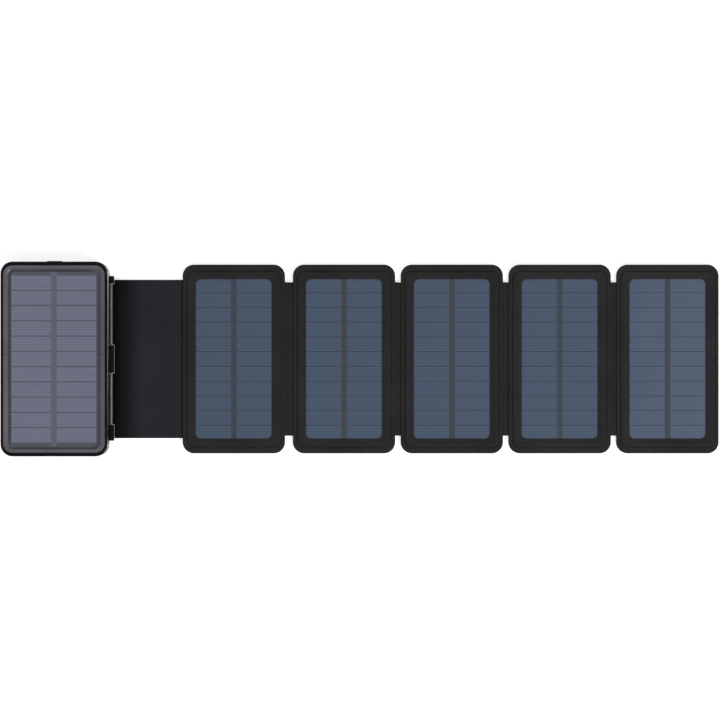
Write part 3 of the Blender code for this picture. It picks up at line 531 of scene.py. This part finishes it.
def step_in(shape, face, width, rise=0.0):
    """Inset a face by a width and move it along its normal by a rise."""
    bmesh.ops.inset_region(shape, faces=[face], thickness=width, depth=rise, use_even_offset=True)


def step_through(shape, face, steps):
    """Take a list of steps, each a width and a rise in millimetres."""
    for width, rise in steps:
        step_in(shape, face, width * MM, rise * MM)


def roll_in(shape, face, radius, steps=4):
    """Round an edge inwards with a run of small steps."""
    angles = [math.radians(90.0 * step / steps) for step in range(steps + 1)]
    for before, after in zip(angles, angles[1:]):
        step_in(shape, face, radius * (math.cos(before) - math.cos(after)),
                radius * (math.sin(after) - math.sin(before)))


def fit(shape, face, width, length, middle):
    """Stretch a face to a width and a length about a middle."""
    xs = [vert.co.x for vert in face.verts]
    ys = [vert.co.y for vert in face.verts]
    grow = (width / (max(xs) - min(xs)), length / (max(ys) - min(ys)), 1.0)
    bmesh.ops.scale(shape, verts=face.verts[:], vec=grow,
                    space=Matrix.Translation((-middle.x, -middle.y, 0.0)))


def raise_face(shape, face, height):
    """Extrude a face straight up or down to a height, and give back the moved face."""
    grown = bmesh.ops.extrude_face_region(shape, geom=[face])["geom"]
    moved = [item for item in grown if isinstance(item, bmesh.types.BMFace)][0]
    bmesh.ops.delete(shape, geom=[face], context="FACES_ONLY")
    for vert in moved.verts:
        vert.co.z = height
    return moved


def join_rims(shape, first, second):
    """Open two faces and bridge their rims."""
    rims = first.edges[:] + second.edges[:]
    bmesh.ops.delete(shape, geom=[first, second], context="FACES_ONLY")
    bmesh.ops.bridge_loops(shape, edges=rims)


def pucker(shape, depth, scale, seed, above):
    """Move what stands above a height by slow noise, as cloth over a board does."""
    for vert in shape.verts:
        if vert.co.z > above:
            spot = Vector((vert.co.x, vert.co.y, 0.0)) * scale + Vector((seed, seed, 0.0))
            vert.co.z += depth * noise.noise(spot)


# %% [markdown]
# ## Bezel of the power bank
# The bezel is a frame with a shallow dish between two ridges, and a chamfer runs down to the
# plate. The outer edge and the window have different corners, so each is a stack of insets
# of its own, and a bridge along the floor of the dish joins them. The four screw posts under
# it are taken from the imported part. The chamfer takes a matt black finish as painted shade:
# it stands for the shade that falls in the groove round the window.

# %% Bezel
BEZEL_ROLL = 0.4 * MM
OUTER_STEPS = ((0.5, 0.0), (0.7, -0.18), (0.7, -0.25), (0.5, -0.05))
INNER_STEPS = ((0.6, 0.42), (0.4, 0.06), (0.3, -0.12), (0.65, -0.85))
BEZEL_WINDOW = (69.2 * MM, 139.2 * MM, 3.2 * MM)  # width, length and corner
BEZEL_CORNER = 7.4 * MM
BEZEL_GAP = 0.3 * MM
SEAT_WIDTH = 2.6 * MM
HAIR = 0.1 * MM
CHAMFER_REACH = 1.0 * MM
CHAMFER_SLOPE = (0.3, 0.75)
# the slot for the painted shade in the groove round the window
GROOVE_SHADE_SLOT = 1


def screw_posts(under_z):
    """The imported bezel's four posts, cut off at its underside and closed."""
    posts = bmesh.new()
    posts.from_mesh(frame["nodes"]["front_bezel"].data)
    bmesh.ops.remove_doubles(posts, verts=posts.verts, dist=1e-6)
    above = [face for face in posts.faces
             if max(vert.co.z for vert in face.verts) > under_z + HAIR]
    bmesh.ops.delete(posts, geom=above, context="FACES")
    flat = [face for face in posts.faces
            if min(vert.co.z for vert in face.verts) > under_z - HAIR]
    bmesh.ops.delete(posts, geom=flat, context="FACES")
    open_rims = [edge for edge in posts.edges if edge.is_boundary]
    bmesh.ops.holes_fill(posts, edges=open_rims, sides=0)
    mesh = bpy.data.meshes.new("posts")
    posts.to_mesh(mesh)
    posts.free()
    return mesh


# paints shade into the chamfer round the window
def shade_chamfer(shape):
    """Give the painted-shade black finish to the sloping faces round the window."""
    reach_x = BEZEL_WINDOW[0] / 2.0 + CHAMFER_REACH
    reach_y = BEZEL_WINDOW[1] / 2.0 + CHAMFER_REACH
    shape.normal_update()
    for face in shape.faces:
        spot = face.calc_center_median()
        sloping = CHAMFER_SLOPE[0] < face.normal.z < CHAMFER_SLOPE[1]
        if sloping and abs(spot.x) < reach_x and abs(spot.y) < reach_y:
            face.material_index = GROOVE_SHADE_SLOT
        else:
            face.material_index = 0


def bank_bezel():
    """The bank's frame: its outside and its window stepped in, joined, with the posts below."""
    low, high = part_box("front_bezel")
    size, middle = high - low, (low + high) / 2.0
    under_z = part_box("seal_gasket")[1].z + BEZEL_GAP
    seat_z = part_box("bank_solar_plate")[0].z - BEZEL_GAP
    shape = bmesh.new()
    under = rounded_face(shape, size.x, size.y, BEZEL_CORNER, middle, under_z, upwards=False)
    top = rounded_face(shape, size.x, size.y, BEZEL_CORNER, middle, high.z - BEZEL_ROLL)
    bmesh.ops.bridge_loops(shape, edges=under.edges[:] + top.edges[:])
    roll_in(shape, top, BEZEL_ROLL)
    step_through(shape, top, OUTER_STEPS)
    reach = sum(width for width, rise in INNER_STEPS) * MM
    dish_z = high.z + sum(rise for width, rise in OUTER_STEPS) * MM
    mouth = rounded_face(shape, BEZEL_WINDOW[0] + 2.0 * reach, BEZEL_WINDOW[1] + 2.0 * reach,
                         BEZEL_WINDOW[2] + reach, middle, dish_z)
    rims = top.edges[:] + mouth.edges[:]
    step_through(shape, mouth, INNER_STEPS)
    bmesh.ops.delete(shape, geom=[top], context="FACES_ONLY")
    bmesh.ops.bridge_loops(shape, edges=rims)
    mouth = raise_face(shape, mouth, seat_z)
    step_in(shape, mouth, SEAT_WIDTH)
    join_rims(shape, under, mouth)
    shape.from_mesh(screw_posts(under_z))
    shade_chamfer(shape)
    piece = to_piece("bank_bezel", shape, BEZEL_PLASTIC, "power_bank", ("front_bezel",), 50.0)
    piece.data.materials.append(GROOVE_SHADE_BLACK)


bank_bezel()


# %% [markdown]
# ## Leaf covers
# A leaf is a stiff board wrapped in leather-look cloth. On the front the cloth is pressed
# down along the hem, rises over the board and rolls over the edge of the window. The cover is
# a real shell over the board, so its underside steps up as well. Cloth glued over a board is
# never quite level, so the raised part is puckered by a tenth of a millimetre.

# %% Front cover of a leaf
LEAF_R = 9.0 * MM
HEM_SIDE = 2.9 * MM
HEM_END = 4.9 * MM
HEM_DROP = 0.5 * MM
SEAM_BEFORE = 0.4 * MM
WINDOW = (61.0 * MM, 128.0 * MM, 3.5 * MM)  # width, length and corner
LIP = 0.9 * MM
EDGE_ROLL = 0.6 * MM
PRESSED_SEAM = ((0.25, -0.12), (0.2, -0.2), (0.15, 0.0), (0.3, 0.4), (0.3, 0.32), (0.35, 0.15),
                (0.8, 0.05))
ROLLED_LIP = ((0.3, -0.05), (0.3, -0.15), (0.2, -0.25))
UNDER_RIM = 2.0 * MM
UNDER_RISE = 1.0 * MM
UNDER_SHELF = 3.5 * MM
PLATE_ROOM = 0.5 * MM
PLATE_GAP = 0.25 * MM
PUCKER_DEPTH = 0.1 * MM
PUCKERS = 55.0
PUCKER_SEED = 3.7


def front_cover(number):
    """One leaf's front cover, from its rim in to the edge of its window."""
    low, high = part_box(f"leaf_{number}_front_cover")
    plate_low, plate_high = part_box(f"leaf_{number}_solar_plate")
    plate_size = plate_high - plate_low
    middle, size = (low + high) / 2.0, high - low
    under_z = plate_high.z + PLATE_GAP
    hem_z = high.z - HEM_DROP
    seam_wide = size.x - 2.0 * (HEM_SIDE - SEAM_BEFORE)
    seam_long = size.y - 2.0 * (HEM_END - SEAM_BEFORE)

    shape = bmesh.new()
    under = rounded_face(shape, size.x, size.y, LEAF_R, middle, low.z, upwards=False)
    top = rounded_face(shape, size.x, size.y, LEAF_R, middle, hem_z - EDGE_ROLL)
    bmesh.ops.bridge_loops(shape, edges=under.edges[:] + top.edges[:])

    roll_in(shape, top, EDGE_ROLL)
    step_in(shape, top, HEM_SIDE - EDGE_ROLL - SEAM_BEFORE)
    fit(shape, top, seam_wide, seam_long, middle)
    step_through(shape, top, PRESSED_SEAM)

    step_in(shape, under, UNDER_RIM)
    under = raise_face(shape, under, hem_z - UNDER_RISE)
    step_in(shape, under, UNDER_SHELF)
    fit(shape, under, plate_size.x + 2.0 * PLATE_ROOM, plate_size.y + 2.0 * PLATE_ROOM, middle)
    under = raise_face(shape, under, under_z)

    lip = rounded_face(shape, WINDOW[0] + 2.0 * LIP, WINDOW[1] + 2.0 * LIP, WINDOW[2] + LIP, middle,
                       top.calc_center_median().z)
    rim = lip.edges[:]
    step_through(shape, lip, ROLLED_LIP)
    fit(shape, lip, WINDOW[0], WINDOW[1], middle)
    lip = raise_face(shape, lip, under_z)
    rims = top.edges[:] + rim
    bmesh.ops.delete(shape, geom=[top], context="FACES_ONLY")
    bmesh.ops.bridge_loops(shape, edges=rims)
    join_rims(shape, under, lip)
    pucker(shape, PUCKER_DEPTH, PUCKERS, number * PUCKER_SEED, hem_z - 0.45 * MM)

    piece = to_piece(f"leaf_{number}_front_leather", shape, LEAF_LEATHER, f"leaf_{number}",
                     (f"leaf_{number}_front_cover",))


for leaf in LEAVES:
    front_cover(leaf)


# %% [markdown]
# The back is the same cloth without a window, stretched over the board and pressed down
# along the same seam, so it takes the same steps the other way up.

# %% Back cover of a leaf
BACK_SEAM = ((0.25, -0.12), (0.2, -0.13), (0.25, 0.0), (0.2, 0.13), (0.25, 0.12))


def back_cover(number):
    """One leaf's back cover."""
    low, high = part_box(f"leaf_{number}_rear_cover")
    middle, size = (low + high) / 2.0, high - low
    roll = (high.z - low.z) / 2.0
    shape = bmesh.new()
    top = rounded_face(shape, size.x, size.y, LEAF_R, middle, high.z)
    under = rounded_face(shape, size.x, size.y, LEAF_R, middle, low.z + roll, upwards=False)
    bmesh.ops.bridge_loops(shape, edges=under.edges[:] + top.edges[:])
    roll_in(shape, under, roll)
    step_in(shape, under, HEM_SIDE - roll)
    fit(shape, under, size.x - 2.0 * HEM_SIDE, size.y - 2.0 * HEM_END, middle)
    step_through(shape, under, BACK_SEAM)
    piece = to_piece(f"leaf_{number}_back_leather", shape, BACK_LEATHER, f"leaf_{number}",
                     (f"leaf_{number}_rear_cover",))


for leaf in LEAVES:
    back_cover(leaf)


# %% [markdown]
# ## Flap and folds
# The flap is one length of cloth over three stiff strips. Cloth can't be rigid at a crease,
# so it is cut into three pieces in the middle of a strip, where nothing bends, and each
# piece spans one crease; the pieces ride on no body and keep the shape they are laid in. A grid
# bent by a height formula gives the top, an extrusion gives the thickness, and a bevel rolls the long edges.

# %% A soft strip
STRIP_ROWS = 24
STRIP_ROLL = 0.5 * MM
STRIP_CORNER = math.radians(60.0)
TOUCHING = 1e-6


def cut_notch(shape, low, high, reach):
    """Cut a notch into the near side of a grid: between two places along Y, up to one along X."""
    for spot, across in (((0.0, low, 0.0), (0.0, 1.0, 0.0)), ((0.0, high, 0.0), (0.0, 1.0, 0.0)),
                         ((reach, 0.0, 0.0), (1.0, 0.0, 0.0))):
        everything = shape.verts[:] + shape.edges[:] + shape.faces[:]
        bmesh.ops.bisect_plane(shape, geom=everything, dist=1e-7, plane_co=spot, plane_no=across)
    inside = [face for face in shape.faces if low < face.calc_center_median().y < high
              and face.calc_center_median().x < reach]
    bmesh.ops.delete(shape, geom=inside, context="FACES")


def soft_strip(name, low_x, high_x, half_length, top_of, under_of, columns, look, notches=()):
    """A strip of cloth between two places along X, with rounded long edges."""
    shape = bmesh.new()
    bmesh.ops.create_grid(shape, x_segments=columns, y_segments=STRIP_ROWS, size=0.5)
    bmesh.ops.scale(shape, verts=shape.verts, vec=(high_x - low_x, 2.0 * half_length, 1.0))
    bmesh.ops.translate(shape, verts=shape.verts, vec=((low_x + high_x) / 2.0, 0.0, 0.0))
    for low, high, reach in notches:
        cut_notch(shape, low, high, reach)
    upper = shape.verts[:]
    grown = bmesh.ops.extrude_face_region(shape, geom=shape.faces[:])["geom"]
    lower = [item for item in grown if isinstance(item, bmesh.types.BMVert)]
    for vert in upper:
        vert.co.z = top_of(vert.co.x)
    for vert in lower:
        vert.co.z = under_of(vert.co.x)
    bmesh.ops.recalc_face_normals(shape, faces=shape.faces)
    edges = [edge for edge in shape.edges if edge.calc_face_angle(0.0) > STRIP_CORNER
             and all(abs(abs(vert.co.y) - half_length) < TOUCHING for vert in edge.verts)
             and abs(edge.verts[0].co.x - edge.verts[1].co.x) > TOUCHING]
    bmesh.ops.bevel(shape, geom=edges, offset=STRIP_ROLL, segments=3, profile=0.5, affect="EDGES",
                    material=-1)
    return to_piece(name, shape, look, None)


def crossing(piece, nodes):
    """Bake a strip's place into its mesh and hide the nodes it stands for."""
    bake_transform(piece)
    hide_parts(*nodes)


# %% [markdown]
# The flap starts high on the sleeves and comes down to the table within 8 mm, then lies level.
# Three notches leave room for the lugs. Under it, the steel plate's tongue is gripped by the
# cloth, so the flap's back slopes over the steel and then lies on the table.

# %% The flap
def ease(value):
    """A smooth step from 0 to 1."""
    held = min(1.0, max(0.0, value))
    return held * held * (3.0 - 2.0 * held)


inner_low, inner_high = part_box("flap_inner")
leaf_1_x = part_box("leaf_1_front_cover")[0].x
tongue_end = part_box("hinge_plate")[1].x
pin_x = joints["flap_wrap"]["pos_m"][0]
FLAP_JOINTS = ("flap_crease_1", "flap_crease_2", "leaf_1_fold")
crease_x = [joints[name]["pos_m"][0] for name in FLAP_JOINTS]
cut_x = [(crease_x[0] + crease_x[1]) / 2.0, (crease_x[1] + crease_x[2]) / 2.0]
HALF_FLAP = inner_high.y
FLAT_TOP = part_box("flap_middle")[1].z + 0.25 * MM
SLOPE_RUN = 8.0 * MM
STEEL_TOP = 0.8 * MM
SLEEVE_UNDER = 4.2 * MM
UNDER_RUN = 4.7 * MM
STEEL_GAP = 0.2 * MM
UNDER_LEAF = 1.0 * MM
NOTCH_REACH = 2.75 * MM
LUG_SPANS = ((-65.5 * MM, -52.5 * MM), (-11.3 * MM, 11.3 * MM), (60.2 * MM, 66.5 * MM))
LUG_NOTCHES = [(low, high, pin_x + NOTCH_REACH) for low, high in LUG_SPANS]
BEND_REACH = (5.0 * MM, 5.0 * MM, 1.5 * MM)
FLAP_NODES = (("flap_inner", "flap_crease_1"), ("flap_middle", "flap_crease_2"),
              ("flap_outer", "flap_crease_3"))


def flap_top(x):
    """Height of the flap's face: down from the sleeves, then level."""
    fall = ease((x - inner_low.x) / SLOPE_RUN)
    return inner_high.z + (FLAT_TOP - inner_high.z) * fall


def flap_under(x):
    """Height of the flap's back, clear of the steel tongue and then on the floor."""
    slope = SLEEVE_UNDER + (STEEL_TOP - SLEEVE_UNDER) * min(1.0, (x - inner_low.x) / UNDER_RUN)
    return slope if x < tongue_end + STEEL_GAP else 0.0


flap_pieces = [
    soft_strip("flap_leather_inner", inner_low.x, cut_x[0], HALF_FLAP, flap_top, flap_under, 36,
               FLAP_LEATHER, LUG_NOTCHES),
    soft_strip("flap_leather_middle", cut_x[0], cut_x[1], HALF_FLAP, flap_top, flap_under, 24,
               FLAP_LEATHER),
    soft_strip("flap_leather_outer", cut_x[1], leaf_1_x + UNDER_LEAF, HALF_FLAP, flap_top,
               flap_under, 18, FLAP_LEATHER),
]
for piece, joint, middle_x, reach, nodes in zip(flap_pieces, FLAP_JOINTS, crease_x, BEND_REACH,
                                                FLAP_NODES):
    crossing(piece, nodes)

# %% [markdown]
# A fold is a strip of the same cloth sewn in between two leaves. Each side of it is tucked
# 3 mm into the leaf, above the board, so it has no end to be seen when the leaf turns.

# %% Folds between the leaves
FOLD_UNDER = 1.3 * MM
TUCK_UNDER = 2.0 * MM
FOLD_TOP = 2.9 * MM
TUCK = 3.0 * MM
TUCK_START = 0.6 * MM


def fold(leaf):
    """The fold between a leaf and the next one."""
    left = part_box(f"leaf_{leaf}_front_cover")[1].x
    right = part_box(f"leaf_{leaf + 1}_front_cover")[0].x
    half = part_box(f"fold_{leaf}_{leaf + 1}")[1].y

    def fold_top(x):
        """Height of the fold's face, the same all over."""
        return FOLD_TOP

    def fold_under(x):
        """Height of the fold's back: lower in the gap than where it is tucked in."""
        return FOLD_UNDER if left - TUCK_START < x < right + TUCK_START else TUCK_UNDER

    strip = soft_strip(f"fold_leather_{leaf}_{leaf + 1}", left - TUCK, right + TUCK, half,
                       fold_top, fold_under, 26, FOLD_LEATHER)
    crossing(strip, (f"fold_{leaf}_{leaf + 1}",))


for leaf in LEAVES[:-1]:
    fold(leaf)


# %% [markdown]
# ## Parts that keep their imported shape
# The solar plates, the pin, screws, sockets and inner parts already have the right shape, so
# they only take a finish. Each plate has its own cell pattern, centred on it.

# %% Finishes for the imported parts
def paint(node, look):
    """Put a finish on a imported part."""
    for holder in frame["nodes"][node].material_slots:
        holder.material = look


LEAF_BLUE = (0.044, 0.0715, 0.115)
LEAF_VIOLET = (0.054, 0.0735, 0.118)
LAST_BLUE = (0.05, 0.076, 0.122)
LAST_VIOLET = (0.074, 0.095, 0.146)
BANK_BLUE = (0.143, 0.152, 0.212)
BANK_VIOLET = (0.12, 0.137, 0.194)
BANK_GAP, BANK_DIVIDER = (0.075, 0.083, 0.11), (0.112, 0.119, 0.15)
LEAF_GAP, LEAF_DIVIDER = (0.018, 0.027, 0.042), (0.036, 0.045, 0.062)
BANK_PITCH, BANK_FINGERS = 0.01213, 8
LEAF_PITCH, LEAF_FINGERS = 0.0118, 7
paint("bank_solar_plate",
      cells("bank_cells", "bank_solar_plate", BANK_BLUE, BANK_VIOLET, BANK_GAP, BANK_DIVIDER,
            BANK_PITCH, BANK_FINGERS, warm=0.8, contrast=0.45))
for leaf in LEAVES:
    last = leaf == LAST_LEAF
    paint(f"leaf_{leaf}_solar_plate",
          cells(f"leaf_{leaf}_cells", f"leaf_{leaf}_solar_plate", LAST_BLUE if last else LEAF_BLUE,
                LAST_VIOLET if last else LEAF_VIOLET, LEAF_GAP, LEAF_DIVIDER, LEAF_PITCH,
                LEAF_FINGERS, warm=1.0 if last else 0.15 * leaf, contrast=0.6))
    paint(f"leaf_{leaf}_board", BOARD_FIBRE)

# %% [markdown]
# The rest is hidden inside or small: a foam seal, two foil pouches, the board with its steel
# sockets, the clear parts of the lights, the pin and the screws.

# %% Inner and small parts
SMALL_PARTS = {
    "seal_gasket": SEAL_FOAM, "battery_cell_1": POUCH_FOIL, "battery_cell_2": POUCH_FOIL,
    "circuit_board": CIRCUIT_MASK, "usb_a_port_1": PORT_STEEL, "usb_a_port_2": PORT_STEEL,
    "usb_c_port": PORT_STEEL, "light_pipe": PIPE_PLASTIC, "torch_lens": LENS_PLASTIC,
    "hinge_pin": PIN_STEEL, "bracket_screw_1": SCREW_STEEL, "bracket_screw_2": SCREW_STEEL,
    "case_screw_1": SCREW_STEEL, "case_screw_2": SCREW_STEEL, "case_screw_3": SCREW_STEEL,
    "case_screw_4": SCREW_STEEL,
}
for node, look in SMALL_PARTS.items():
    paint(node, look)
print("small parts painted:", len(SMALL_PARTS))
